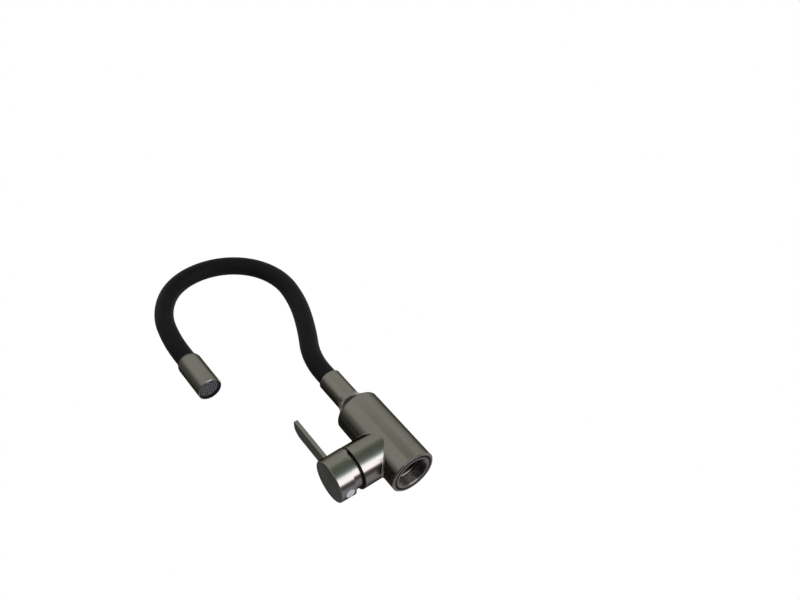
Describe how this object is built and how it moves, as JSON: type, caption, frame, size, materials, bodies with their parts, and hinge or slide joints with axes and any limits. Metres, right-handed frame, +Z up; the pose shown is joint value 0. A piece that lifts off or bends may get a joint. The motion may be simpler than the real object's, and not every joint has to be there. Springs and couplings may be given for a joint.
{
  "type": "flexible spout kitchen mixer",
  "caption": "Single-lever kitchen mixer with its cartridge on the front of a round barrel, a lever that points up and a hooked flexible spout in a soft sleeve with an aerator nozzle.",
  "frame": {"origin": "centre of the barrel's deck face, in the mouth of the shank thread", "axes": "+Z up the barrel to the spout, -Y out along the cartridge housing to the handle, +X to the right seen from the handle"},
  "size_m": [0.048, 0.1686, 0.3806],
  "materials": {
    "gunmetal_steel": "brushed, dark grey",
    "bright_steel": "satin",
    "black_silicone": "matt",
    "black_rubber": "matt",
    "black_plastic": "matt",
    "white_plastic": "satin",
    "grey_mesh": "matt",
    "tube_plastic": "satin",
    "brass": "machined",
    "white_ceramic": "lapped"
  },
  "bodies": {
    "mixer_body": {"mixer_body": "gunmetal_steel", "base_seal": "black_rubber", "housing_gasket": "black_rubber", "cartridge_base": "white_plastic", "cartridge_port_seals": "black_rubber", "fixed_ceramic_disc": "white_ceramic", "cartridge_shell": "white_plastic", "cartridge_nut": "gunmetal_steel", "neck_snap_ring": "bright_steel"},
    "stem_rotor": {"stem_collar": "white_plastic", "stem_pin": "bright_steel"},
    "mixing_disc": {"moving_ceramic_disc": "white_ceramic", "disc_carrier": "white_plastic"},
    "lever": {"cartridge_stem": "brass", "handle_cap": "gunmetal_steel", "lever_blade": "gunmetal_steel", "lever_nut": "bright_steel", "grub_screw": "bright_steel", "index_plug": "white_plastic"},
    "spout_tail": {"spout_tail": "brass", "spout_o_rings": "black_rubber", "glide_ring": "white_plastic", "spout_sleeve": "black_silicone", "water_tube": "tube_plastic", "lower_tube_insert": "brass"},
    "link_1": {"gooseneck_link_1": "black_plastic"},
    "link_2": {"gooseneck_link_2": "black_plastic"},
    "link_3": {"gooseneck_link_3": "black_plastic"},
    "link_4": {"gooseneck_link_4": "black_plastic"},
    "link_5": {"gooseneck_link_5": "black_plastic"},
    "link_6": {"gooseneck_link_6": "black_plastic"},
    "link_7": {"gooseneck_link_7": "black_plastic"},
    "link_8": {"gooseneck_link_8": "black_plastic"},
    "link_9": {"gooseneck_link_9": "black_plastic"},
    "nozzle": {"nozzle_adaptor": "brass", "nozzle_shell": "gunmetal_steel", "aerator_seal": "black_rubber", "aerator_housing": "black_plastic", "flow_straightener": "white_plastic", "aerator_mesh": "grey_mesh", "upper_tube_insert": "brass"}
  },
  "joints": [
    {"name": "lever_turn", "type": "hinge", "parent": "mixer_body", "child": "stem_rotor", "pos_m": [0, -0.047, 0.038], "axis": [0, -1, 0], "range_deg": [-50, 50]},
    {"name": "lever_lift", "type": "hinge", "parent": "stem_rotor", "child": "lever", "pos_m": [0, -0.047, 0.038], "axis": [1, 0, 0], "range_deg": [0, 20]},
    {"name": "disc_slide", "type": "slide", "parent": "stem_rotor", "child": "mixing_disc", "axis": [0, 0, 1], "range_m": [0, 0.005]},
    {"name": "spout_swivel", "type": "hinge", "parent": "mixer_body", "child": "spout_tail", "pos_m": [0, 0, 0.143], "axis": [0, 0, 1], "continuous": true},
    {"name": "lower_bend_1", "type": "hinge", "parent": "spout_tail", "child": "link_1", "pos_m": [0, 0, 0.155], "axis": [1, 0, 0], "range_deg": [-12, 8], "deforming": ["spout_sleeve", "water_tube"]},
    {"name": "side_bend_1", "type": "hinge", "parent": "link_1", "child": "link_2", "pos_m": [0, 0.01032, 0.19864], "axis": [0, -0.8942, 0.4478], "range_deg": [-12, 12], "deforming": ["spout_sleeve", "water_tube"]},
    {"name": "lower_bend_2", "type": "hinge", "parent": "link_2", "child": "link_3", "pos_m": [0, 0.02798, 0.24027], "axis": [1, 0, 0], "range_deg": [-12, 8], "deforming": ["spout_sleeve", "water_tube"]},
    {"name": "lower_bend_3", "type": "hinge", "parent": "link_3", "child": "link_4", "pos_m": [0, 0.03772, 0.28435], "axis": [1, 0, 0], "range_deg": [-12, 8], "deforming": ["spout_sleeve", "water_tube"]},
    {"name": "side_bend_2", "type": "hinge", "parent": "link_4", "child": "link_5", "pos_m": [0, 0.02961, 0.32827], "axis": [0, -0.8957, -0.4446], "range_deg": [-12, 12], "deforming": ["spout_sleeve", "water_tube"]},
    {"name": "upper_bend_1", "type": "hinge", "parent": "link_5", "child": "link_6", "pos_m": [0, -0.00102, 0.36067], "axis": [1, 0, 0], "range_deg": [-15, 5], "deforming": ["spout_sleeve", "water_tube"]},
    {"name": "upper_bend_2", "type": "hinge", "parent": "link_6", "child": "link_7", "pos_m": [0, -0.0446, 0.36981], "axis": [1, 0, 0], "range_deg": [-15, 5], "deforming": ["spout_sleeve", "water_tube"]},
    {"name": "side_bend_3", "type": "hinge", "parent": "link_7", "child": "link_8", "pos_m": [0, -0.08386, 0.34951], "axis": [0, -0.7524, 0.6587], "range_deg": [-12, 12], "deforming": ["spout_sleeve", "water_tube"]},
    {"name": "upper_bend_3", "type": "hinge", "parent": "link_8", "child": "link_9", "pos_m": [0, -0.10354, 0.30934], "axis": [1, 0, 0], "range_deg": [-15, 5], "deforming": ["spout_sleeve", "water_tube"]},
    {"name": "upper_bend_4", "type": "hinge", "parent": "link_9", "child": "nozzle", "pos_m": [0, -0.10748, 0.26434], "axis": [1, 0, 0], "range_deg": [-15, 5], "deforming": ["spout_sleeve", "water_tube"]}
  ],
  "couplings": [
    {"joint": "disc_slide", "follows": "lever_lift", "m_per_rad": 0.014},
    {"joint": "lower_bend_2", "follows": "lower_bend_1", "ratio": 1},
    {"joint": "lower_bend_3", "follows": "lower_bend_1", "ratio": 1},
    {"joint": "side_bend_2", "follows": "side_bend_1", "ratio": 1},
    {"joint": "side_bend_3", "follows": "side_bend_1", "ratio": 1},
    {"joint": "upper_bend_2", "follows": "upper_bend_1", "ratio": 1},
    {"joint": "upper_bend_3", "follows": "upper_bend_1", "ratio": 1},
    {"joint": "upper_bend_4", "follows": "upper_bend_1", "ratio": 1}
  ]
}
